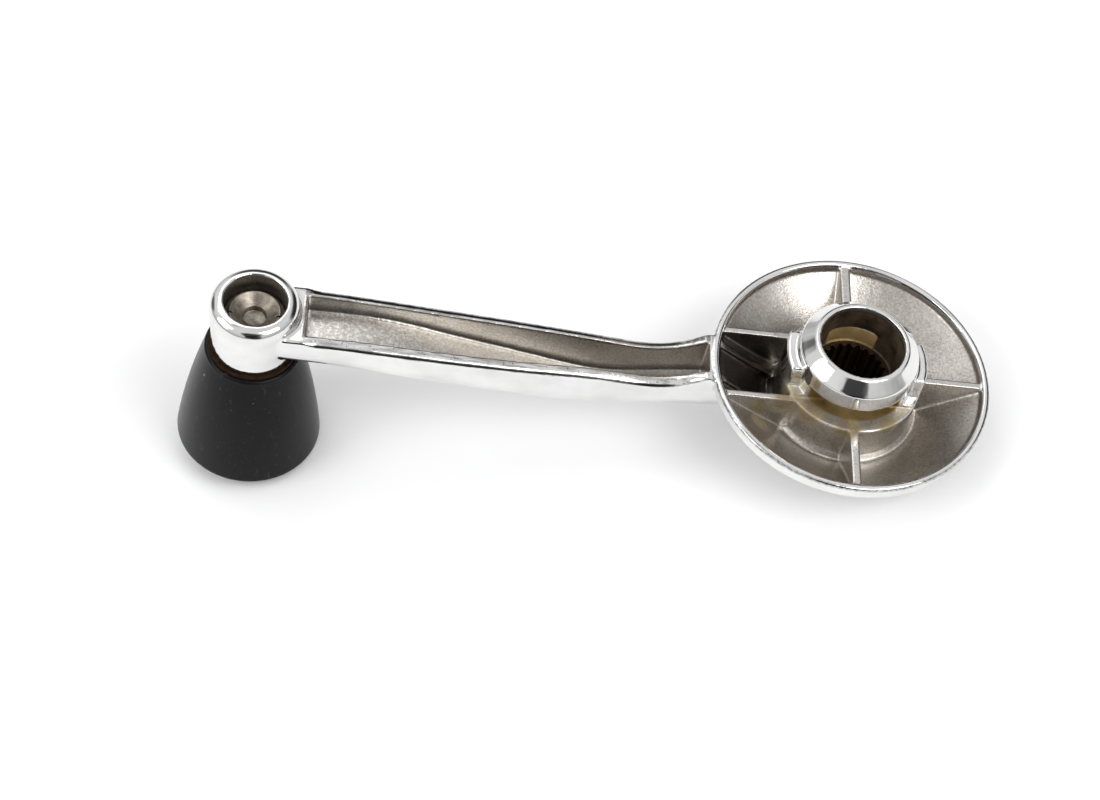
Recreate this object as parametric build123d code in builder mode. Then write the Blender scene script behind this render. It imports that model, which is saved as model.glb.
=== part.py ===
"""Window crank handle: a plated die-cast handle with a free-turning plastic knob on a swaged spindle.

Frame: the origin is the centre of the hub's mouth and +Z is the spindle axis, out of the handle
towards the door. The arm runs along -X to the knob. Units are millimetres.
"""

import math
import os

from build123d import *

# --- Driving dimensions ---------------------------------------------------------------------------

# Hub: takes the regulator spindle and its retaining clip
bore_radius = 7.5
mouth_land = 0.8  # flat ring around the mouth
collar_radius = 10.6
collar_chamfer_height = 2.3
collar_height = 5.9  # from the mouth down to the clip slots
clip_slot_height = 3.3
clip_slot_floor = 6.3  # the slots are cut down to this distance from the axis
boss_radius = 12.6
ear_drop = 4.05  # the two ears beside the collar end this far below the mouth
ear_half_width = 4.3
boss_foot_width = 1.0  # a bevel around the boss's foot

# Splined insert
insert_radius = 7.1
insert_length = 8.6
insert_drop = 0.2  # its top face lies this far below the clip slots
spline_teeth = 24
spline_tip_radius = 5.95
spline_root_radius = 6.6

# Dish
rim_radius = 25.0
rim_drop = 8.64  # the rim lies this far below the mouth
rim_land = 1.1
rim_inner_height = 0.9
rim_wall_height = 2.4
rim_edge_bevel = 0.3
dome_radius = 34.0
floor_edge_radius = 23.5
floor_edge_drop = 1.4  # below the rim
floor_slope = 36.0  # degrees
rib_drop = 0.45  # the ribs' tops lie this far below the rim
back_rib_thickness = 1.9
front_rib_thickness = 1.6
side_rib_thickness = 1.35
arm_rib_thickness = 1.2
arm_rib_offset = 6.8  # two ribs stand this far each side of the arm's centre
sill_offset = 3.6  # low ridges carry the arm's walls on into the dish
sill_thickness = 1.2
sill_height = 0.7

# Arm
reach = 105.0  # from the hub's axis to the knob's
arm_wall = 1.95
arm_edge_fillet = 0.6
arm_belly_fillet = 3.6
channel_end_gap = 0.9  # solid metal between the channel and the eye
channel_root_wall = 0.4  # solid metal between the channel and the dish's rim
channel_floor_fillet = 0.8

# Eye
eye_radius = 8.0
eye_foot_radius = 7.35  # the eye narrows towards the knob
eye_rise = 2.7  # the eye's top above the dish's rim
eye_height = 12.3
eye_crown_fillet = 2.1
eye_foot_fillet = 0.8
recess_radius = 5.55
recess_depth = 4.9

# Knob spindle, a semi-tubular rivet, and what it carries
spindle_radius = 3.0
spindle_hole_radius = 2.05
spindle_hole_depth = 1.3
flare_radius = 4.55
flare_height = 1.25
flare_edge = 0.3
funnel_depth = 0.15
crack_angles = (188, 305, 352)  # degrees
crack_length = 0.8
crack_width = 0.35
head_radius = 5.0
head_thickness = 1.6
running_clearance = 0.05
rivet_washer_radius = 5.3
rivet_washer_thickness = 0.45
friction_washer_radius = 7.8
friction_washer_thickness = 0.6
thrust_washer_radius = 5.2
thrust_washer_thickness = 0.6
axial_clearance = 0.05

# Knob
knob_top_radius = 8.4
knob_middle_radius = 11.1
knob_end_radius = 13.1
knob_length = 24.7
knob_top_fillet = 0.5
knob_end_fillet = 0.45
bush_radius = 4.2
bush_length = 20.0
bush_flange_radius = 5.6
bush_flange_thickness = 0.8
pocket_radius = 6.2
pocket_end_clearance = 0.3
cap_radius = 9.2
cap_dish_radius = 7.6
cap_dish_depth = 0.4

# --- Places worked out from them ------------------------------------------------------------------

slot_top_z = -collar_height
ledge_z = slot_top_z - clip_slot_height
insert_top_z = ledge_z - insert_drop
insert_bottom_z = insert_top_z - insert_length

rim_z = -rim_drop
dome_edge_z = rim_z - rim_wall_height
dome_centre_z = dome_edge_z + math.sqrt(dome_radius**2 - rim_radius**2)
dome_apex_z = dome_centre_z - dome_radius
floor_edge_z = rim_z - floor_edge_drop
floor_fall = math.tan(math.radians(floor_slope))
boss_foot_radius = boss_radius + boss_foot_width
boss_foot_z = floor_edge_z - (floor_edge_radius - boss_foot_radius) * floor_fall
rib_top_z = rim_z - rib_drop

eye_x = -reach
eye_top_z = rim_z + eye_rise
eye_bottom_z = eye_top_z - eye_height
recess_floor_z = eye_top_z - recess_depth
swage_z = recess_floor_z + rivet_washer_thickness
spindle_hole_in_eye = spindle_radius + running_clearance

knob_top_z = eye_bottom_z - friction_washer_thickness - axial_clearance
knob_end_z = knob_top_z - knob_length
bush_end_z = knob_top_z - bush_length
thrust_top_z = bush_end_z - bush_flange_thickness - axial_clearance
head_top_z = thrust_top_z - thrust_washer_thickness
head_end_z = head_top_z - head_thickness
cap_top_z = head_end_z - pocket_end_clearance

channel_start_x = eye_x + eye_radius + channel_end_gap
channel_end_x = -(rim_radius + channel_root_wall)

# The arm's outline along X: (x as a share of the reach, half width)
arm_outline = (
    (1.0, 6.35),
    (0.93, 6.25),
    (0.8, 6.1),
    (0.667, 5.9),
    (0.533, 5.5),
    (0.41, 4.95),
    (0.286, 4.95),
    (0.143, 4.95),
)
# The arm's top, underside and channel floor along X: (x share, distance below the rim)
arm_top = (
    (0.95, 0.4),
    (0.848, 0.45),
    (0.747, 1.1),
    (0.67, 1.6),
    (0.594, 2.0),
    (0.519, 2.35),
    (0.445, 2.65),
    (0.385, 3.15),
    (0.343, 3.4),
    (0.314, 3.05),
    (0.288, 2.2),
    (0.267, 1.1),
    (0.248, 0.15),
)
arm_underside = (
    (1.0, 7.2),
    (0.92, 7.6),
    (0.838, 8.2),
    (0.743, 9.6),
    (0.657, 10.4),
    (0.571, 11.4),
    (0.447, 12.4),
    (0.381, 12.1),
    (0.314, 11.1),
    (0.248, 10.0),
    (0.143, 9.5),
)
channel_floor = (
    (0.92, 4.1),
    (0.857, 3.9),
    (0.794, 4.2),
    (0.743, 5.0),
    (0.674, 6.6),
    (0.588, 8.3),
    (0.5, 9.9),
    (0.41, 10.8),
    (0.33, 9.6),
    (0.24, 8.2),
)


def along_arm(points, first_x, last_x):
    """Places on the XZ plane, with the end ones moved out to the given X."""
    placed = [(-share * reach, rim_z - drop) for share, drop in points]
    placed[0] = (first_x, placed[0][1])
    placed[-1] = (last_x, placed[-1][1])
    return placed


def arm_plan(inset):
    """Half the arm's outline seen along Z, on the +Y side."""
    return [(-share * reach, half - inset) for share, half in arm_outline]


def save(builder, name):
    """Label a finished piece and write its STEP file."""
    builder.part.label = name
    export_step(builder.part, f"parts/{name}.step")


os.makedirs("parts", exist_ok=True)

# --- Handle casting: the arm as a solid bar -------------------------------------------------------

arm_inner_x = -0.143 * reach
top_points = along_arm(arm_top, eye_x, -0.248 * reach)
underside_points = along_arm(arm_underside, eye_x, arm_inner_x)

with BuildPart() as arm:
    with BuildSketch(Plane.XZ):
        with BuildLine():
            Spline(*top_points)
            Polyline(top_points[-1], (arm_inner_x, rim_z), underside_points[-1])
            Spline(*underside_points)
            Line(underside_points[0], top_points[0])
        make_face()
    extrude(amount=rim_radius, both=True)
    with BuildSketch(Plane.XY.offset(dome_apex_z - 5)):
        with BuildLine():
            edge = arm_plan(0)
            Spline(*edge)
            Line(edge[-1], (edge[-1][0], -edge[-1][1]))
            Spline(*[(x, -y) for x, y in edge])
            Line(edge[0], (edge[0][0], -edge[0][1]))
        make_face()
    extrude(amount=40, mode=Mode.INTERSECT)
    side_edges = arm.edges().filter_by(lambda e: e.length > reach / 2 and abs(e.center().Y) > 1)
    fillet(side_edges.sort_by(Axis.Z)[:2], arm_belly_fillet)
    side_edges = arm.edges().filter_by(lambda e: e.length > reach / 2 and abs(e.center().Y) > 1)
    fillet(side_edges.sort_by(Axis.Z)[-2:], arm_edge_fillet)

# --- Handle casting: the channel that hollows the arm ---------------------------------------------

floor_points = along_arm(channel_floor, channel_start_x, channel_end_x)

with BuildPart() as channel:
    with BuildSketch(Plane.XZ):
        with BuildLine():
            Spline(*floor_points)
            Polyline(floor_points[-1], (channel_end_x, 0), (channel_start_x, 0), floor_points[0])
        make_face()
    extrude(amount=rim_radius, both=True)
    with BuildSketch(Plane.XY.offset(dome_apex_z - 5)):
        with BuildLine():
            edge = arm_plan(arm_wall)
            Spline(*edge)
            Line(edge[-1], (edge[-1][0], -edge[-1][1]))
            Spline(*[(x, -y) for x, y in edge])
            Line(edge[0], (edge[0][0], -edge[0][1]))
        make_face()
    extrude(amount=40, mode=Mode.INTERSECT)
    side_edges = channel.edges().filter_by(lambda e: e.length > reach / 2 and abs(e.center().Y) > 1)
    fillet(side_edges.sort_by(Axis.Z)[:2], channel_floor_fillet)

# --- Handle casting: the dish's ribs and sills, cut to the dish's shape ---------------------------

with BuildPart() as ribs:
    rib_length = floor_edge_radius + rim_land / 2
    rib_plane = Plane.XY.offset(rib_top_z)
    with BuildSketch(rib_plane):
        with Locations((rib_length / 2, 0)):
            Rectangle(rib_length, side_rib_thickness)
        with Locations((0, rib_length / 2)):
            Rectangle(back_rib_thickness, rib_length)
        with Locations((0, -rib_length / 2)):
            Rectangle(front_rib_thickness, rib_length)
        with Locations((-rib_length / 2, arm_rib_offset), (-rib_length / 2, -arm_rib_offset)):
            Rectangle(rib_length, arm_rib_thickness)
    extrude(amount=dome_apex_z - rib_top_z)
    with BuildSketch(Plane.XZ):
        with BuildLine():
            Polyline(
                (bore_radius + 1, rib_top_z),
                (floor_edge_radius + rim_land / 2, rib_top_z),
                (floor_edge_radius + rim_land / 2, floor_edge_z - 0.5),
                (boss_foot_radius, boss_foot_z - 0.5),
                (bore_radius + 1, boss_foot_z - 0.5),
                close=True,
            )
        make_face()
    revolve(axis=Axis.Z, mode=Mode.INTERSECT)

with BuildPart() as sills:
    with BuildSketch(Plane.XY.offset(dome_apex_z)):
        with Locations((-rib_length / 2, sill_offset), (-rib_length / 2, -sill_offset)):
            Rectangle(rib_length, sill_thickness)
    extrude(amount=rim_z - dome_apex_z)
    with BuildSketch(Plane.XZ):
        with BuildLine():
            Polyline(
                (boss_radius - 1, boss_foot_z - 0.5),
                (floor_edge_radius, floor_edge_z - 0.5),
                (floor_edge_radius, floor_edge_z + sill_height),
                (boss_foot_radius + 3, boss_foot_z + 3 * floor_fall + sill_height),
                (boss_radius - 1, boss_foot_z + 0.2),
                close=True,
            )
        make_face()
    revolve(axis=Axis.Z, mode=Mode.INTERSECT)

# --- Handle casting: the eye that carries the knob ------------------------------------------------

with BuildPart() as eye:
    with BuildSketch(Plane((eye_x, 0, eye_bottom_z))):
        Circle(eye_foot_radius)
    extrude(amount=eye_height, taper=-math.degrees(math.atan((eye_radius - eye_foot_radius) / eye_height)))
    fillet(eye.faces().sort_by(Axis.Z)[-1].edges(), eye_crown_fillet)
    fillet(eye.faces().sort_by(Axis.Z)[0].edges(), eye_foot_fillet)

# --- Handle casting: everything joined ------------------------------------------------------------

with BuildPart() as handle_casting:
    # Dish and boss as one solid of revolution
    with BuildSketch(Plane.XZ):
        with BuildLine():
            Polyline(
                (0, dome_apex_z),
                (0, rim_z),
                (rim_radius - rim_edge_bevel, rim_z),
                (rim_radius, rim_z - rim_edge_bevel),
                (rim_radius, dome_edge_z),
            )
            RadiusArc((rim_radius, dome_edge_z), (0, dome_apex_z), dome_radius)
        make_face()
    revolve(axis=Axis.Z)
    add(arm.part)

    # The dish's hollow
    with BuildSketch(Plane.XZ):
        with BuildLine():
            Polyline(
                (boss_radius, rim_z + 1),
                (boss_radius, boss_foot_z + boss_foot_width),
                (boss_foot_radius, boss_foot_z),
                (floor_edge_radius, floor_edge_z),
                (floor_edge_radius, rim_z - rim_inner_height),
                (rim_radius - rim_land, rim_z),
                (rim_radius - rim_land, rim_z + 1),
                close=True,
            )
        make_face()
    revolve(axis=Axis.Z, mode=Mode.SUBTRACT)

    # Hub: boss, ears and collar
    with BuildSketch(Plane.XY.offset(boss_foot_z)):
        Circle(boss_radius)
    extrude(amount=ledge_z - boss_foot_z)
    with BuildSketch(Plane.XY.offset(ledge_z)):
        Circle(boss_radius)
        Rectangle(2 * boss_radius, 2 * ear_half_width, mode=Mode.INTERSECT)
    extrude(amount=-ear_drop - ledge_z)
    with BuildSketch(Plane.XZ):
        with BuildLine():
            Polyline(
                (0, ledge_z),
                (0, 0),
                (bore_radius + mouth_land, 0),
                (collar_radius, -collar_chamfer_height),
                (collar_radius, ledge_z),
                close=True,
            )
        make_face()
    revolve(axis=Axis.Z)
    add(ribs.part)
    add(sills.part)

    # Clip slots each side of the collar
    slot_depth = boss_radius - clip_slot_floor
    with BuildSketch(Plane.XY.offset(ledge_z)):
        with Locations((0, clip_slot_floor + slot_depth / 2), (0, -clip_slot_floor - slot_depth / 2)):
            Rectangle(2 * boss_radius + 2, slot_depth)
    extrude(amount=clip_slot_height, mode=Mode.SUBTRACT)

    # Bore, seat for the splined insert and the hole below it
    with BuildSketch(Plane.XY):
        Circle(bore_radius)
    extrude(amount=insert_top_z, mode=Mode.SUBTRACT)
    with BuildSketch(Plane.XY.offset(insert_top_z)):
        Circle(insert_radius)
    extrude(amount=-insert_length, mode=Mode.SUBTRACT)

    # Eye
    add(eye.part)
    with BuildSketch(Plane((eye_x, 0, eye_top_z))):
        Circle(recess_radius)
    extrude(amount=-recess_depth, mode=Mode.SUBTRACT)
    with BuildSketch(Plane((eye_x, 0, recess_floor_z))):
        Circle(spindle_hole_in_eye)
    extrude(amount=eye_bottom_z - recess_floor_z, mode=Mode.SUBTRACT)

    # Channel along the arm
    add(channel.part, mode=Mode.SUBTRACT)

save(handle_casting, "handle_casting")

# --- Splined insert -------------------------------------------------------------------------------

with BuildPart() as splined_sleeve:
    with BuildSketch(Plane.XY.offset(insert_bottom_z)):
        Circle(insert_radius)
        Circle(spline_tip_radius, mode=Mode.SUBTRACT)
        groove = spline_root_radius - spline_tip_radius + 0.1
        with PolarLocations(spline_root_radius - groove / 2, spline_teeth):
            Trapezoid(math.pi * spline_tip_radius / spline_teeth + 0.3, groove, 70, rotation=-90,
                      mode=Mode.SUBTRACT)
    extrude(amount=insert_length)

save(splined_sleeve, "splined_sleeve")

# --- Washers on the knob's spindle ----------------------------------------------------------------


def washer(outer_radius, inner_radius, thickness, bottom_z, name):
    """A flat washer about the knob's axis."""
    with BuildPart() as ring:
        with BuildSketch(Plane((eye_x, 0, bottom_z))):
            Circle(outer_radius)
            Circle(inner_radius, mode=Mode.SUBTRACT)
        extrude(amount=thickness)
    save(ring, name)


washer(rivet_washer_radius, spindle_hole_in_eye, rivet_washer_thickness, recess_floor_z, "rivet_washer")
washer(
    friction_washer_radius,
    spindle_hole_in_eye,
    friction_washer_thickness,
    eye_bottom_z - friction_washer_thickness,
    "friction_washer",
)
washer(
    thrust_washer_radius,
    spindle_hole_in_eye,
    thrust_washer_thickness,
    head_top_z,
    "thrust_washer",
)

# --- Knob spindle: a semi-tubular rivet, head in the knob, flared end in the eye ------------------

with BuildPart() as knob_spindle:
    with BuildSketch(Plane.XZ):
        Polygon(
            (0, head_end_z),
            (head_radius, head_end_z),
            (head_radius, head_top_z),
            (spindle_radius, head_top_z),
            (spindle_radius, swage_z),
            (flare_radius, swage_z + flare_height - flare_edge),
            (flare_radius - flare_edge / 2, swage_z + flare_height),
            (flare_radius - flare_edge, swage_z + flare_height),
            (spindle_hole_radius, swage_z - funnel_depth),
            (spindle_hole_radius, swage_z - spindle_hole_depth),
            (0, swage_z - spindle_hole_depth - 0.3),
            align=None,
        )
    revolve(axis=Axis.Z)
    with BuildSketch(Plane.XY.offset(swage_z + 0.3)):
        for angle in crack_angles:
            with PolarLocations(flare_radius, 1, start_angle=angle):
                Rectangle(2 * crack_length, crack_width)
    extrude(amount=flare_height, mode=Mode.SUBTRACT)

knob_spindle.part.position = (eye_x, 0, 0)
save(knob_spindle, "knob_spindle")

# --- Knob -----------------------------------------------------------------------------------------

with BuildPart() as knob_body:
    with BuildSketch(Plane.XZ):
        with BuildLine():
            Line((0, knob_top_z), (knob_top_radius, knob_top_z))
            ThreePointArc(
                (knob_top_radius, knob_top_z),
                (knob_middle_radius, (knob_top_z + knob_end_z) / 2 + 0.6),
                (knob_end_radius, knob_end_z),
            )
            Polyline((knob_end_radius, knob_end_z), (0, knob_end_z), (0, knob_top_z))
        make_face()
    revolve(axis=Axis.Z)
    rims = knob_body.edges().filter_by(GeomType.CIRCLE).sort_by(Axis.Z)
    fillet(rims[-1], knob_top_fillet)
    rims = knob_body.edges().filter_by(GeomType.CIRCLE).sort_by(Axis.Z)
    fillet(rims[0], knob_end_fillet)
    with BuildSketch(Plane.XY.offset(knob_top_z)):
        Circle(bush_radius)
    extrude(amount=-bush_length, mode=Mode.SUBTRACT)
    with BuildSketch(Plane.XY.offset(bush_end_z)):
        Circle(pocket_radius)
    extrude(amount=cap_top_z - bush_end_z, mode=Mode.SUBTRACT)
    with BuildSketch(Plane.XY.offset(cap_top_z)):
        Circle(cap_radius)
    extrude(amount=knob_end_z - cap_top_z, mode=Mode.SUBTRACT)

knob_body.part.position = (eye_x, 0, 0)
save(knob_body, "knob_body")

with BuildPart() as knob_bush:
    with BuildSketch(Plane((eye_x, 0, knob_top_z))):
        Circle(bush_radius)
        Circle(spindle_radius + running_clearance, mode=Mode.SUBTRACT)
    extrude(amount=-bush_length)
    with BuildSketch(Plane((eye_x, 0, bush_end_z))):
        Circle(bush_flange_radius)
        Circle(spindle_radius + running_clearance, mode=Mode.SUBTRACT)
    extrude(amount=-bush_flange_thickness)

save(knob_bush, "knob_bush")

with BuildPart() as knob_end_cap:
    with BuildSketch(Plane((eye_x, 0, knob_end_z))):
        Circle(cap_radius)
    extrude(amount=cap_top_z - knob_end_z)
    with BuildSketch(Plane((eye_x, 0, knob_end_z))):
        Circle(cap_dish_radius)
    extrude(amount=cap_dish_depth, mode=Mode.SUBTRACT)

save(knob_end_cap, "knob_end_cap")
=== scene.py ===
import math

import bmesh
import bpy
import numpy as np
from mathutils import Matrix, Vector


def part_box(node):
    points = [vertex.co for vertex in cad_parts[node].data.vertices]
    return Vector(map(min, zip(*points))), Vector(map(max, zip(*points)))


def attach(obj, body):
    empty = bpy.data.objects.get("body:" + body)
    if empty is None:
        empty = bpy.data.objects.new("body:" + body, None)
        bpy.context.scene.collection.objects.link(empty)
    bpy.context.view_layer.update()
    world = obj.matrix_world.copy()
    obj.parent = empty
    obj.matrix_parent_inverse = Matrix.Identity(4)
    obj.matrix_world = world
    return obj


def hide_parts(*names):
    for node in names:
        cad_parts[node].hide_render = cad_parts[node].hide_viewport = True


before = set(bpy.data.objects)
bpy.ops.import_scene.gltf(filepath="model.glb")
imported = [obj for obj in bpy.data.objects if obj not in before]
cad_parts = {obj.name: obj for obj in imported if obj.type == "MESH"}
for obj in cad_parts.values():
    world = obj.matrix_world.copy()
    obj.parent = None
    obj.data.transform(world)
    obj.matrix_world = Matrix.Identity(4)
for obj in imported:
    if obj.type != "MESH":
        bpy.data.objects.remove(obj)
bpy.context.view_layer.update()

# --- Sizes, in metres, that the frame doesn't hold ------------------------------------------------

MM = 0.001
DOME_RADIUS = 34 * MM
RIM_LAND = 1.1 * MM
RIM_DROP = 8.64 * MM
BOSS_RADIUS = 12.6 * MM
BORE_RADIUS = 7.5 * MM
COLLAR_RADIUS = 10.6 * MM
SLOT_TOP = -5.9 * MM
SLOT_FLOOR = -9.2 * MM
SLOT_INNER = 6.3 * MM  # the clip slots reach in this far from the axis
EYE_RADIUS = 8 * MM
RECESS_RADIUS = 5.55 * MM

casting_low, casting_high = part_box("handle_casting")
knob_low, knob_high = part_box("knob_body")
cap_low, cap_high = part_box("knob_end_cap")
eye = (knob_low + knob_high) / 2
rim_radius = casting_high.y
rim_z = -RIM_DROP
knob_radius = (knob_high.y - knob_low.y) / 2

# The handle lies on its dome and on the edge of its knob
dome_centre = Vector((0, 0, casting_low.z + DOME_RADIUS))
knob_edge = Vector((eye.x + knob_radius, 0, knob_low.z))
across = -(knob_edge.x - dome_centre.x)
down = knob_edge.z - dome_centre.z
tilt = math.asin(-DOME_RADIUS / math.hypot(across, down)) - math.atan2(down, across)
floor_up = Vector((-math.sin(tilt), 0, math.cos(tilt)))
floor_point = dome_centre - floor_up * DOME_RADIUS


# --- Helpers --------------------------------------------------------------------------------------


def colour(code):
    """An sRGB hex colour as linear RGBA."""
    parts = [int(code[i : i + 2], 16) / 255 for i in (1, 3, 5)]
    return [p / 12.92 if p <= 0.04045 else ((p + 0.055) / 1.055) ** 2.4 for p in parts] + [1]


def add(tree, kind, inputs, out=0, stops=(), **settings):
    """Adds a shader node and returns one of its outputs. Inputs are values or other nodes' outputs,
    stops are a colour ramp's (place, grey or hex colour) and settings are the node's properties."""
    node = tree.nodes.new("ShaderNode" + kind)
    for key, value in settings.items():
        setattr(node, key, value)
    if stops:
        elements = node.color_ramp.elements
        while len(elements) < len(stops):
            elements.new(0.5)
        for element, (place, shade) in zip(elements, stops):
            element.position = place
            element.color = colour(shade) if isinstance(shade, str) else [shade] * 3 + [1]
    for key, value in inputs.items():
        if isinstance(value, bpy.types.NodeSocket):
            tree.links.new(value, node.inputs[key])
        else:
            node.inputs[key].default_value = value
    return node.outputs[out]


def new_material(name):
    """A material with its node tree and its shader."""
    material = bpy.data.materials.new(name)
    material.use_nodes = True
    tree = material.node_tree
    shader = tree.nodes["Principled BSDF"]
    return material, tree, shader


def keep_modified(obj):
    """Gives the object the mesh that its modifiers make."""
    graph = bpy.context.evaluated_depsgraph_get()
    obj.data = bpy.data.meshes.new_from_object(obj.evaluated_get(graph))
    obj.modifiers.clear()
    obj.data.shade_smooth()


def skin(node, name, voxel, smoothing):
    """A cast or swaged metal part's surface: the frame's shape with every edge softened."""
    obj = bpy.data.objects.new(name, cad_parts[node].data.copy())
    bpy.context.scene.collection.objects.link(obj)
    remesh = obj.modifiers.new("Remesh", "REMESH")
    remesh.mode = "VOXEL"
    remesh.voxel_size = voxel
    smooth = obj.modifiers.new("Smooth", "SMOOTH")
    smooth.factor = 0.5
    smooth.iterations = smoothing
    keep_modified(obj)
    obj.data.materials.clear()
    return obj


def soften(obj, weights, rounds):
    """Rounds off the edges where the weights are above nothing."""
    group = obj.vertex_groups.new(name="soft")
    for index in np.nonzero(weights > 0.01)[0]:
        group.add([int(index)], float(weights[index]), "REPLACE")
    smooth = obj.modifiers.new("Smooth", "SMOOTH")
    smooth.vertex_group = "soft"
    smooth.factor = 0.5
    smooth.iterations = rounds
    keep_modified(obj)
    obj.vertex_groups.clear()


def lathe(name, profile, segments=160):
    """Turns (radius, height) points about the knob's axis into a closed mesh."""
    shape = bmesh.new()
    turns = [2 * math.pi * step / segments for step in range(segments)]
    rings = [
        [shape.verts.new((eye.x + radius * math.cos(a), radius * math.sin(a), height)) for a in turns]
        for radius, height in profile
    ]
    for low, high in zip(rings, rings[1:] + rings[:1]):
        for step in range(segments):
            after = (step + 1) % segments
            shape.faces.new([low[step], low[after], high[after], high[step]])
    bmesh.ops.recalc_face_normals(shape, faces=shape.faces)
    mesh = bpy.data.meshes.new(name)
    shape.to_mesh(mesh)
    shape.free()
    mesh.shade_smooth()
    obj = bpy.data.objects.new(name, mesh)
    bpy.context.scene.collection.objects.link(obj)
    return obj


def corner(radius, height, size, start, steps=6):
    """Points round a quarter-circle edge about (radius, height), from the start angle in degrees."""
    turn = [math.radians(start - 90 * step / steps) for step in range(steps + 1)]
    return [(radius + size * math.cos(a), height + size * math.sin(a)) for a in turn]


def paint(obj, name, values):
    """Stores a 0 to 1 finish mask on the mesh's points."""
    attribute = obj.data.attributes.new(name, "FLOAT", "POINT")
    attribute.data.foreach_set("value", np.clip(values, 0, 1).astype(np.float32))


def points_of(obj, field="co"):
    """The mesh's points, or their normals, as an array of rows."""
    flat = np.zeros(len(obj.data.vertices) * 3)
    obj.data.vertices.foreach_get(field, flat)
    return flat.reshape(-1, 3)


def ease(value, start, end):
    """0 at start, 1 at end, smooth between."""
    t = np.clip((value - start) / (end - start), 0, 1)
    return t * t * (3 - 2 * t)


# --- Materials ------------------------------------------------------------------------------------


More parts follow.
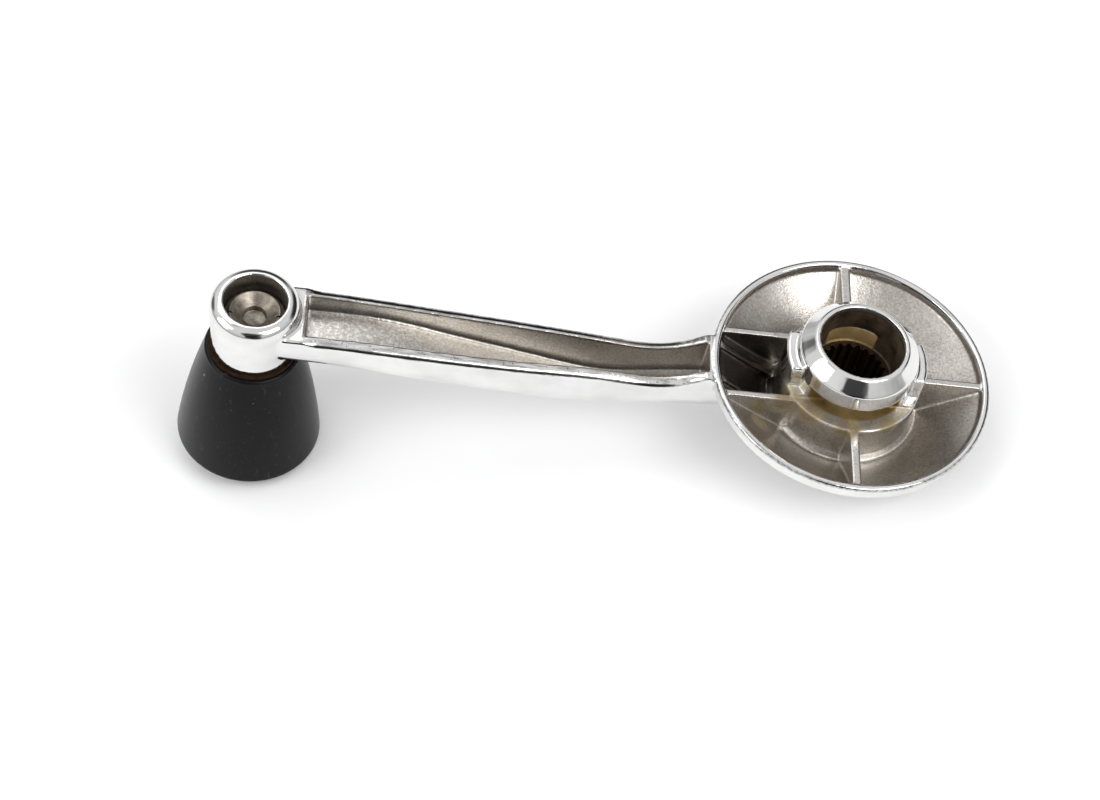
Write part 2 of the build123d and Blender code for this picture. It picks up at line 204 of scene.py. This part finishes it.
def chromed_zinc():
    """Chrome plate over die-cast zinc. Polished where hands and eyes meet it, which gives bright, sharp
    reflections with fine pits and wipe marks. Inside the dish and channel the plate follows the raw
    casting, so it is grey, grainy and dull, and in the bore and slots it is worn to brown metal."""
    material, tree, shader = new_material("chromed_zinc")
    here = add(tree, "TexCoord", {}, "Object")
    satin, bare, copper, stain, edge, tarnish, painted_shade, residue = (
        add(tree, "Attribute", {}, "Fac", attribute_name=name)
        for name in ("satin", "bare", "copper", "stain", "rim_wear", "tarnish", "painted_shade", "residue")
    )

    # Uneven polish, blotched plate, the grain of the die, pits, drawn wear lines and dried polish.
    # The grain is drawn coarser than real so that it shows.
    haze = add(tree, "TexNoise", {"Vector": here, "Scale": 1 / (9 * MM), "Detail": 4})
    blotch = add(tree, "TexNoise", {"Vector": here, "Scale": 1 / (3.5 * MM), "Detail": 5, "Roughness": 0.6})
    cast = add(tree, "TexNoise", {"Vector": here, "Scale": 1 / (0.42 * MM), "Detail": 3, "Roughness": 0.6})
    pits = add(tree, "TexNoise", {"Vector": here, "Scale": 1 / (0.5 * MM), "Detail": 2, "Roughness": 0.6})
    along_arm = add(tree, "Mapping", {"Vector": here, "Scale": (0.12, 1, 1)})
    drawn = add(tree, "TexNoise", {"Vector": along_arm, "Scale": 1 / (0.5 * MM), "Detail": 2})
    flecks = add(tree, "TexNoise", {"Vector": here, "Scale": 1 / (0.7 * MM), "Detail": 5, "Roughness": 0.75})
    spots = add(tree, "TexNoise", {"Vector": here, "Scale": 1 / (0.8 * MM), "Detail": 4, "Roughness": 0.7})

    pitting = add(tree, "ValToRGB", {0: pits}, stops=((0.0, 1.0), (0.30, 1.0), (0.37, 0.0)))
    sunk = add(tree, "Math", {0: pitting, 1: edge}, operation="MULTIPLY")
    lines = add(tree, "ValToRGB", {0: drawn}, stops=((0.4, 0.0), (0.62, 0.55)))
    worn_lines = add(tree, "Math", {0: lines, 1: edge}, operation="MULTIPLY")
    speckle = add(tree, "ValToRGB", {0: spots}, stops=((0.36, 1.0), (0.56, 0.35)))
    tarnished = add(tree, "Math", {0: tarnish, 1: speckle}, operation="MULTIPLY")
    painted_shade_amount = add(tree, "Math", {0: painted_shade, 1: 0.85}, operation="MULTIPLY")
    dried = add(tree, "ValToRGB", {0: flecks}, stops=((0.48, 0.0), (0.60, 1.0)))
    dried = add(tree, "Math", {0: residue, 1: dried}, operation="MULTIPLY")
    dried = add(tree, "Math", {0: dried, 1: 0.75}, operation="MULTIPLY")
    soiled = add(tree, "Math", {0: stain, 1: 0.75}, operation="MULTIPLY")

    plate = add(tree, "ValToRGB", {0: haze}, stops=((0.3, "#d9d9d8"), (0.7, "#efefee")))
    raw = add(tree, "ValToRGB", {0: blotch}, stops=((0.25, "#aaa49d"), (0.5, "#b9b4ae"), (0.75, "#c6c2bd")))
    grainy = add(tree, "ValToRGB", {0: cast}, stops=((0.32, "#847e75"), (0.68, "#dedad4")))
    worn = add(tree, "ValToRGB", {0: blotch}, stops=((0.3, "#382d22"), (0.7, "#857360")))
    brown = add(tree, "ValToRGB", {0: blotch}, stops=((0.3, "#4a3823"), (0.7, "#ab8c62")))
    soil = add(tree, "ValToRGB", {0: blotch}, stops=((0.35, "#9c8a4e"), (0.65, "#6d5530")))

    # Each layer of colour lies over the last; the raw casting joins the plate where it is satin
    for amount, layer in ((worn_lines, "#7c7873"), (sunk, "#57524c"), (tarnished, "#292624")):
        plate = add(tree, "Mix", {0: amount, 6: plate, 7: colour(layer)}, 2, data_type="RGBA")
    raw = add(tree, "Mix", {0: 0.45, 6: raw, 7: grainy}, 2, data_type="RGBA")
    # Painted shade, not dirt: the rib pocket and the foot of the channel's far wall are darkened here
    raw = add(tree, "Mix", {0: painted_shade_amount, 6: raw, 7: colour("#332c26")}, 2, data_type="RGBA")
    shade = plate
    for amount, layer in (
        (satin, raw), (dried, colour("#efeeea")), (bare, worn), (copper, brown), (soiled, soil)
    ):
        shade = add(tree, "Mix", {0: amount, 6: shade, 7: layer}, 2, data_type="RGBA")
    tree.links.new(shade, shader.inputs["Base Color"])

    rough = add(tree, "Mix", {0: haze, 2: 0.035, 3: 0.11}, data_type="FLOAT")
    dull = add(tree, "Mix", {0: blotch, 2: 0.24, 3: 0.34}, data_type="FLOAT")
    for amount, roughness in ((satin, dull), (bare, 0.5), (copper, 0.42), (stain, 0.55)):
        rough = add(tree, "Mix", {0: amount, 2: rough, 3: roughness}, data_type="FLOAT")
    tree.links.new(rough, shader.inputs["Roughness"])
    metal = add(tree, "Mix", {0: stain, 2: 1.0, 3: 0.55}, data_type="FLOAT")
    metal = add(tree, "Mix", {0: bare, 2: metal, 3: 0.7}, data_type="FLOAT")
    tree.links.new(metal, shader.inputs["Metallic"])

    grains = add(tree, "Math", {0: cast, 1: satin}, operation="MULTIPLY")
    bump = add(tree, "Bump", {"Strength": 0.8, "Distance": 0.05 * MM, "Height": grains})
    pitted = {"Strength": 0.15, "Distance": 0.03 * MM, "Height": sunk, "Normal": bump}
    bump = add(tree, "Bump", pitted, invert=True)
    waves = {"Strength": 0.16, "Distance": 0.12 * MM, "Height": haze, "Normal": bump}
    tree.links.new(add(tree, "Bump", waves), shader.inputs["Normal"])
    return material


# Chips on the knob's side that show brown filler: centre and size in millimetres
KNOB_CHIPS = (
    ((-113.2, -5.1, -22.6), 0.55),
    ((-113.4, -5.2, -23.8), 0.35),
    ((-103.9, -9.7, -23.4), 0.30),
    ((-97.6, -8.6, -26.5), 0.22),
)


def moulded_black_plastic():
    """Black moulded plastic gone satin with handling: soft broad highlights, fine dust and light scuffs."""
    material, tree, shader = new_material("moulded_black_plastic")
    here = add(tree, "TexCoord", {}, "Object")
    upright = add(tree, "Mapping", {"Vector": here, "Scale": (1, 1, 0.18)})
    cloud = add(tree, "TexNoise", {"Vector": here, "Scale": 1 / (6 * MM), "Detail": 4})
    speck = add(tree, "TexNoise", {"Vector": here, "Scale": 1 / (0.45 * MM), "Detail": 3, "Roughness": 0.7})
    scuff = add(tree, "TexNoise", {"Vector": upright, "Scale": 1 / (1.6 * MM), "Detail": 4, "Roughness": 0.7})

    base = add(tree, "ValToRGB", {0: cloud}, stops=((0.3, "#080707"), (0.7, "#0f0e0e")))
    dust = add(tree, "ValToRGB", {0: speck}, stops=((0.66, 0.0), (0.74, 1.0)))
    dust = add(tree, "Math", {0: dust, 1: 0.22}, operation="MULTIPLY")
    lines = add(tree, "ValToRGB", {0: scuff}, stops=((0.62, 0.0), (0.70, 1.0)))
    lines = add(tree, "Math", {0: lines, 1: 0.16}, operation="MULTIPLY")
    for amount, layer in ((dust, "#8b8984"), (lines, "#6f6d6a")):
        base = add(tree, "Mix", {0: amount, 6: base, 7: colour(layer)}, 2, data_type="RGBA")
    for centre, size in KNOB_CHIPS:
        away = add(tree, "VectorMath", {0: here, 1: Vector(centre) * MM}, "Value", operation="DISTANCE")
        ragged = add(tree, "Math", {0: speck, 1: size * MM}, operation="MULTIPLY")
        away = add(tree, "Math", {0: away, 1: ragged}, operation="ADD")
        ends = {"Value": away, "From Min": 1.3 * size * MM, "From Max": 1.1 * size * MM}
        chip = {0: add(tree, "MapRange", ends), 6: base, 7: colour("#7d6350")}
        base = add(tree, "Mix", chip, 2, data_type="RGBA")
    tree.links.new(base, shader.inputs["Base Color"])
    rough = add(tree, "Mix", {0: cloud, 2: 0.24, 3: 0.33}, data_type="FLOAT")
    tree.links.new(rough, shader.inputs["Roughness"])
    shader.inputs["IOR"].default_value = 1.49
    shader.inputs["Specular IOR Level"].default_value = 0.15
    bump = add(tree, "Bump", {"Strength": 0.22, "Distance": 0.03 * MM, "Height": speck})
    scuffed = {"Strength": 0.2, "Distance": 0.05 * MM, "Height": scuff, "Normal": bump}
    tree.links.new(add(tree, "Bump", scuffed), shader.inputs["Normal"])
    return material


def dull_steel(name, dark, light, smoothest, roughest, grit):
    """Plain steel that has been swaged, oiled or left to rust: mottled, with no clear reflection. Grit is
    the size of the mottling in millimetres."""
    material, tree, shader = new_material(name)
    here = add(tree, "TexCoord", {}, "Object")
    large = {"Vector": here, "Scale": 1 / (grit * MM), "Detail": 5, "Roughness": 0.65}
    small = {"Vector": here, "Scale": 6 / (grit * MM), "Detail": 3, "Roughness": 0.6}
    mottle = add(tree, "TexNoise", large)
    fine = add(tree, "TexNoise", small)
    base = add(tree, "ValToRGB", {0: mottle}, stops=((0.32, dark), (0.68, light)))
    gritty = add(tree, "ValToRGB", {0: fine}, stops=((0.35, dark), (0.65, light)))
    base = add(tree, "Mix", {0: 0.3, 6: base, 7: gritty}, 2, data_type="RGBA")
    tree.links.new(base, shader.inputs["Base Color"])
    rough = add(tree, "Mix", {0: mottle, 2: smoothest, 3: roughest}, data_type="FLOAT")
    tree.links.new(rough, shader.inputs["Roughness"])
    shader.inputs["Metallic"].default_value = 0.85
    bump = add(tree, "Bump", {"Strength": 0.4, "Distance": 0.05 * MM, "Height": fine})
    tree.links.new(bump, shader.inputs["Normal"])
    return material


chrome = chromed_zinc()
plastic = moulded_black_plastic()
rivet_steel = dull_steel("swaged_rivet_steel", "#5f574c", "#a8a095", 0.26, 0.42, 1.2)
# The washer under the flare gets a darker copy of the rivet steel: painted shade
shaded_steel = dull_steel("shaded_washer_steel", "#241e18", "#6b6154", 0.4, 0.6, 0.9)
rusty_steel = dull_steel("rusted_washer_steel", "#170f0a", "#4a3424", 0.6, 0.85, 0.8)
oiled_steel = dull_steel("oiled_spline_steel", "#17120c", "#5b4a36", 0.35, 0.55, 1.0)

# --- Handle casting: its shape --------------------------------------------------------------------

CASTING_VOXEL = 0.2 * MM
CASTING_ROUNDS = 8
EAR_SPREAD = 7 * MM  # the ears end this far from the arm's line
EAR_INNER = 9.3 * MM
EAR_OUTER = 13.2 * MM
EAR_ROUNDS = 22
RIM_BAND = 1.55 * MM  # the part of the arm's rims that is rounded off towards the outside
RIM_FALL = 0.62 * MM
RIM_DEPTH = 2.5 * MM  # the rounding fades out this far below the rim
ARM_END_FADE = 3 * MM


def crown_rims(obj, on_arm):
    """Rounds the arm's two rims down towards their outer edges, leaving a thin flat lip inside. Returns
    the arm's half width at each point's distance along it."""
    place = points_of(obj)
    x, y, z = place.T
    bins = np.arange(x[on_arm].min(), x[on_arm].max(), 1 * MM)
    index = np.clip(np.digitize(x, bins) - 1, 0, len(bins) - 1)
    top = np.full(len(bins), -1.0)
    half = np.zeros(len(bins))
    np.maximum.at(top, index[on_arm], z[on_arm])
    near_top = on_arm & (z > top[index] - 2 * MM)
    np.maximum.at(half, index[near_top], np.abs(y[near_top]))
    middles = bins + 0.5 * MM
    top_here = np.interp(x, middles, top)
    half_here = np.interp(x, middles, half)
    outward = np.clip((np.abs(y) - half_here + RIM_BAND) / RIM_BAND, 0, 1)
    shallow = np.clip(1 - (top_here - z) / RIM_DEPTH, 0, 1)
    ends = ease(x, bins[0], bins[0] + ARM_END_FADE) * ease(-x, -bins[-1], -bins[-1] + ARM_END_FADE)
    place[:, 2] -= RIM_FALL * outward**1.25 * shallow * ends * on_arm
    obj.data.vertices.foreach_set("co", place.ravel())
    obj.data.update()
    return half_here


casting = skin("handle_casting", "handle_casting_skin", CASTING_VOXEL, CASTING_ROUNDS)
x, y, z = points_of(casting).T
near_ears = ease(np.abs(x), EAR_INNER, EAR_INNER + 0.9 * MM) * ease(EAR_SPREAD - np.abs(y), 0, 1 * MM)
near_ears *= ease(-z, 2.5 * MM, 3.4 * MM) * ease(z, -9.5 * MM, -8.5 * MM)
soften(casting, near_ears * (np.hypot(x, y) < EAR_OUTER), EAR_ROUNDS)

# The masks are worked out where the points were before the rims are rounded off
place = points_of(casting)
x, y, z = place.T
radius = np.hypot(x, y)
on_arm = (x < -rim_radius - 0.2 * MM) & (x > eye.x + EYE_RADIUS + 0.3 * MM)
half_width = crown_rims(casting, on_arm)
normal_x, normal_y, normal_z = points_of(casting, "normal").T
facing_in = -normal_y * np.sign(y)

# --- Handle casting: where each finish lies -------------------------------------------------------

# The dish is satin inside its rim and outside its bore, and the dome's outer face keeps its polish
in_dish = ease(rim_radius - RIM_LAND - 0.1 * MM - radius, 0, 0.4 * MM)
in_dish *= ease(rim_z - 0.25 * MM - z, 0, 0.35 * MM)
in_dish *= ease(radius, BORE_RADIUS, BORE_RADIUS + 1 * MM)
dome_gap = DOME_RADIUS - np.sqrt(x**2 + y**2 + (z - dome_centre.z) ** 2)
in_dish *= ease(dome_gap, 0.35 * MM, 0.8 * MM)
boss_wall = ease(-z, -SLOT_FLOOR, -SLOT_FLOOR + 0.5 * MM)
in_dish *= np.where(radius < BOSS_RADIUS + 0.3 * MM, boss_wall, 1)

# The channel's two walls, its floor and the round corners between them
inner_wall = ease(facing_in, 0.25, 0.7)
flat_floor = ease(normal_z, 0.5, 0.9) * ease(4.2 * MM - np.abs(y), 0, 0.8 * MM)
low = ease(rim_z - 2.2 * MM - z, 0, 0.8 * MM)
between_rims = ease(half_width - RIM_BAND - 0.25 * MM - np.abs(y), 0, 0.3 * MM) * (normal_z > -0.2)
in_channel = np.where(on_arm, np.maximum.reduce([inner_wall, flat_floor * low, between_rims]), 0)

in_bore = ease(BORE_RADIUS + 0.35 * MM - radius, 0, 0.25 * MM) * ease(-z, 0.25 * MM, 0.8 * MM)
from_eye = np.hypot(x - eye.x, y)
in_recess = ease(RECESS_RADIUS + 0.2 * MM - from_eye, 0, 0.2 * MM) * ease(rim_z + 2.5 * MM - z, 0, 0.5 * MM)
past_slot = np.abs(y) > SLOT_INNER - 0.3 * MM
on_ledge = (np.abs(z - SLOT_FLOOR) < 0.5 * MM) & (normal_z > 0.5) & past_slot
on_ledge = on_ledge * ease(BOSS_RADIUS - 0.1 * MM - radius, 0, 0.3 * MM)
in_slot = (z < SLOT_TOP - 0.1 * MM) & (z > SLOT_FLOOR - 0.4 * MM) & past_slot
clip_track = ease(COLLAR_RADIUS - 0.1 * MM - radius, 0, 0.5 * MM)

# Yellow-brown stains on the boss and in the dish beside it: centre and size in millimetres
STAINS = (
    ((-11.5, -6.5, -10.0), 4.4),
    ((-16.0, -9.5, -14.5), 2.8),
    ((-8.0, -9.0, -9.2), 4.5),
    ((-1.0, -11.8, -9.2), 4.0),
    ((6.0, -10.4, -9.2), 3.0),
)
stained = np.zeros(len(x))
for centre, size in STAINS:
    away = np.linalg.norm(place - np.array(centre) * MM, axis=1)
    stained = np.maximum(stained, 1 - ease(away, size * 0.35 * MM, size * MM))

# Pits on the arm's rims, and tarnish along its far rim and round the dish's edge
on_rims = np.where(on_arm & (normal_z > 0.3) & (np.abs(y) > 3 * MM), 1.0, 0.0)
far_rim = on_arm * ease(y, half_width - 1.6 * MM, half_width - 1.2 * MM) * ease(normal_z, -0.1, 0.3)
dish_edge = ease(radius, rim_radius - 0.5 * MM, rim_radius - 0.3 * MM) * (x > -rim_radius)
dish_edge *= ease(z, rim_z - 0.75 * MM, rim_z - 0.5 * MM)

# Painted shade: the pocket between the two ribs by the arm is darkened to stand for the dark it reflects, and
# the foot of the channel's far wall is darkened to dim its highlight
pocket = ease(6.4 * MM - np.abs(y), 0, 0.5 * MM) * ease(-x, 11.5 * MM, 13.5 * MM)
pocket *= ease(rim_z - 0.6 * MM - z, 0, 1 * MM) * (radius < rim_radius)
wall_foot = between_rims * (y > 0) * on_arm * low * ease(normal_z, 0.1, 0.4) * ease(facing_in, 0.1, 0.3)

paint(casting, "satin", np.maximum.reduce([in_dish, in_channel, in_recess, on_ledge]))
paint(casting, "residue", in_channel * flat_floor * (1 - ease(x, 0.85 * eye.x, 0.6 * eye.x)))
paint(casting, "bare", np.maximum(in_bore, 0.06 * in_recess))
paint(casting, "copper", in_slot * clip_track)
paint(casting, "stain", np.maximum(stained, 0.45 * on_ledge))
paint(casting, "rim_wear", np.maximum(on_rims, 0.04))
paint(casting, "tarnish", np.maximum(far_rim, 0.75 * dish_edge))
# The painted shade mask: the rib pocket and the foot of the channel's far wall
paint(casting, "painted_shade", np.maximum(pocket, 0.6 * wall_foot))
casting.data.materials.append(chrome)
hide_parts("handle_casting")
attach(casting, "handle")

# --- Spindle, washers and splined sleeve ----------------------------------------------------------

RIVET_VOXEL = 0.08 * MM
RIVET_ROUNDS = 1

rivet = skin("knob_spindle", "knob_spindle_skin", RIVET_VOXEL, RIVET_ROUNDS)
rivet.data.materials.append(rivet_steel)
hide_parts("knob_spindle")
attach(rivet, "handle")

for name, material in (
    ("splined_sleeve", oiled_steel),
    ("rivet_washer", shaded_steel),
    ("friction_washer", rusty_steel),
    ("thrust_washer", rivet_steel),
    ("knob_bush", oiled_steel),
    ("knob_end_cap", plastic),
):
    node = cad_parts[name]
    node.data.materials.clear()
    node.data.materials.append(material)

# --- Knob -----------------------------------------------------------------------------------------

TOP_RADIUS = 8.4 * MM
MIDDLE_RADIUS = 11.1 * MM
MIDDLE_RISE = 0.6 * MM
TOP_EDGE = 0.5 * MM
END_EDGE = 0.45 * MM
BUSH_RADIUS = 4.2 * MM
CAP_RADIUS = 9.2 * MM
SIDE_STEPS = 40


def knob_side(height):
    """The knob's radius at a height: a curve through its top, middle and end."""
    middle = (knob_low.z + knob_high.z) / 2 + MIDDLE_RISE
    heights = np.array([knob_high.z, middle, knob_low.z])
    radii = np.array([TOP_RADIUS, MIDDLE_RADIUS, knob_radius])
    return float(np.polyval(np.polyfit(heights, radii, 2), height))


side_top = knob_high.z - TOP_EDGE
side_low = knob_low.z + END_EDGE
profile = [(BUSH_RADIUS, cap_high.z), (BUSH_RADIUS, knob_high.z)]
profile += corner(knob_side(side_top) - TOP_EDGE, side_top, TOP_EDGE, 90)
for step in range(1, SIDE_STEPS):
    height = side_top + (side_low - side_top) * step / SIDE_STEPS
    profile.append((knob_side(height), height))
profile += corner(knob_side(side_low) - END_EDGE, side_low, END_EDGE, 0)
profile += [(CAP_RADIUS, knob_low.z), (CAP_RADIUS, cap_high.z)]
knob = lathe("knob_body_skin", profile)
knob.data.materials.append(plastic)
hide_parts("knob_body")
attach(knob, "knob")

# --- Studio: pale floor, soft light, camera -------------------------------------------------------

FLOOR_HALF = 3.0

side = Vector((0, 1, 0))
along = side.cross(floor_up)
studio = Matrix((along, side, floor_up)).transposed().to_4x4()
studio.translation = floor_point

floor_mesh = bpy.data.meshes.new("floor")
turns = ((-1, -1), (1, -1), (1, 1), (-1, 1))
floor_corners = [(FLOOR_HALF * right, FLOOR_HALF * back, 0) for right, back in turns]
floor_mesh.from_pydata(floor_corners, [], [(0, 1, 2, 3)])
floor = bpy.data.objects.new("floor", floor_mesh)
floor.matrix_world = studio
bpy.context.scene.collection.objects.link(floor)
paper, tree, shader = new_material("white_paper_sweep")
shader.inputs["Roughness"].default_value = 0.85
here = add(tree, "TexCoord", {}, "Object")
uneven = add(tree, "TexNoise", {"Vector": here, "Scale": 1 / (40 * MM), "Detail": 2})
white = add(tree, "ValToRGB", {0: uneven}, stops=((0.3, "#f6f6f7"), (0.7, "#fafafa")))
tree.links.new(white, shader.inputs["Base Color"])
floor_mesh.materials.append(paper)


def softbox(name, direction, distance, width, height, radiance):
    """A diffuse panel aimed at the handle; its direction is in the studio's own axes."""
    light = bpy.data.lights.new(name, "AREA")
    light.shape = "RECTANGLE"
    light.size = width
    light.size_y = height
    light.energy = radiance * math.pi * width * height
    obj = bpy.data.objects.new(name, light)
    way = (studio.to_3x3() @ Vector(direction)).normalized()
    target = Vector((eye.x / 2, 0, rim_z))
    obj.location = target + way * distance
    obj.rotation_mode = "QUATERNION"
    obj.rotation_quaternion = (-way).to_track_quat("-Z", "Y")
    bpy.context.scene.collection.objects.link(obj)


softbox("key_softbox", (-0.9, -0.35, 0.75), 0.9, 0.45, 0.6, 3.0)
softbox("right_softbox", (0.60, -0.38, 0.70), 0.9, 0.50, 0.42, 5.0)
softbox("top_softbox", (-0.2, 0.45, 1.0), 1.0, 0.8, 0.5, 1.2)

# Dark openings in the white tent: direction in the studio's axes, the half angles in degrees inside
# which it is dark and outside which it is gone, and its darkness. The first is the tent's open front.
GAPS = (
    ((0.1, -0.83, 0.60), 13, 23, 0.93),
    ((0.1, -0.97, 0.25), 12, 20, 0.9),
    ((0.1, 0.94, 0.34), 12, 24, 0.92),
    ((0.78, 0.57, 0.16), 16, 32, 0.95),
    ((-0.85, 0.45, 0.30), 8, 18, 0.8),
    ((-0.2, 0.15, 0.97), 6, 16, 0.45),
)

world = bpy.data.worlds.new("pale_studio")
world.use_nodes = True
tree = world.node_tree
tree.nodes.clear()
way = add(tree, "TexCoord", {}, "Generated")
rise = add(tree, "VectorMath", {0: way, 1: floor_up}, "Value", operation="DOT_PRODUCT")
walls = add(tree, "ValToRGB", {0: rise}, stops=((0.0, 0.75), (0.08, 0.55), (0.3, 0.8), (0.6, 1.0)))
for direction, inside, outside, darkness in GAPS:
    facing = (studio.to_3x3() @ Vector(direction)).normalized()
    near = add(tree, "VectorMath", {0: way, 1: facing}, "Value", operation="DOT_PRODUCT")
    ends = {
        "Value": near,
        "From Min": math.cos(math.radians(outside)),
        "From Max": math.cos(math.radians(inside)),
    }
    edges = add(tree, "MapRange", ends, interpolation_type="SMOOTHSTEP")
    dark = add(tree, "Math", {0: edges, 1: darkness}, operation="MULTIPLY")
    walls = add(tree, "Mix", {0: dark, 6: walls, 7: colour("#060607")}, 2, data_type="RGBA")
glow = add(tree, "Background", {"Color": walls, "Strength": 0.84})
output = tree.nodes.new("ShaderNodeOutputWorld")
tree.links.new(glow, output.inputs["Surface"])
bpy.context.scene.world = world

CAMERA_PLACE = Vector((-91.18, -243.09, 314.79)) * MM
CAMERA_RIGHT = Vector((0.99044, 0.02732, 0.13521))
CAMERA_UP = Vector((-0.10022, 0.81602, 0.56926))
FOCAL_LENGTH = 76.32  # millimetres, on a sensor 36 mm wide
camera_data = bpy.data.cameras.new("camera")
camera_data.sensor_fit = "HORIZONTAL"
camera_data.sensor_width = 36
camera_data.lens = FOCAL_LENGTH
camera_data.clip_start = 0.01
camera_data.clip_end = 20
camera = bpy.data.objects.new("camera", camera_data)
pose = Matrix((CAMERA_RIGHT, CAMERA_UP, CAMERA_RIGHT.cross(CAMERA_UP))).transposed().to_4x4()
pose.translation = CAMERA_PLACE
camera.matrix_world = pose
bpy.context.scene.collection.objects.link(camera)
bpy.context.scene.camera = camera
bpy.context.scene.view_settings.view_transform = "Standard"

bpy.context.view_layer.update()
